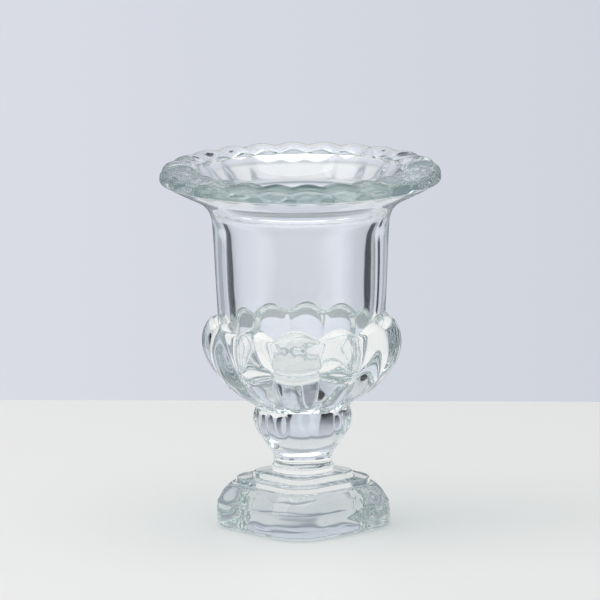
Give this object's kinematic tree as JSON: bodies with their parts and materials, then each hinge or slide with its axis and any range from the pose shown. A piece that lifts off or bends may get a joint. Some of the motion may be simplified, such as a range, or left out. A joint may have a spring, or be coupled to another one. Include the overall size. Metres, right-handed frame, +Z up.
{
  "type": "glass pedestal vase",
  "caption": "Clear pressed-glass urn vase: ribbed turned-out brim, plain tumbler bowl in a petal cup, knop stem and stepped square foot, for holding cut flowers.",
  "frame": {"origin": "centre of the ground underside of the foot", "axes": "+Z up along the vase's axis towards the mouth; the flats of the square foot face +X, -X, +Y and -Y"},
  "size_m": [0.138, 0.138, 0.1806],
  "materials": {
    "clear_glass": "fire-polished clear soda-lime glass"
  },
  "bodies": {
    "root": {"foot": "clear_glass", "stem_collar": "clear_glass", "knop": "clear_glass", "petal_cup": "clear_glass", "bowl": "clear_glass", "rim_band": "clear_glass"}
  },
  "joints": []
}
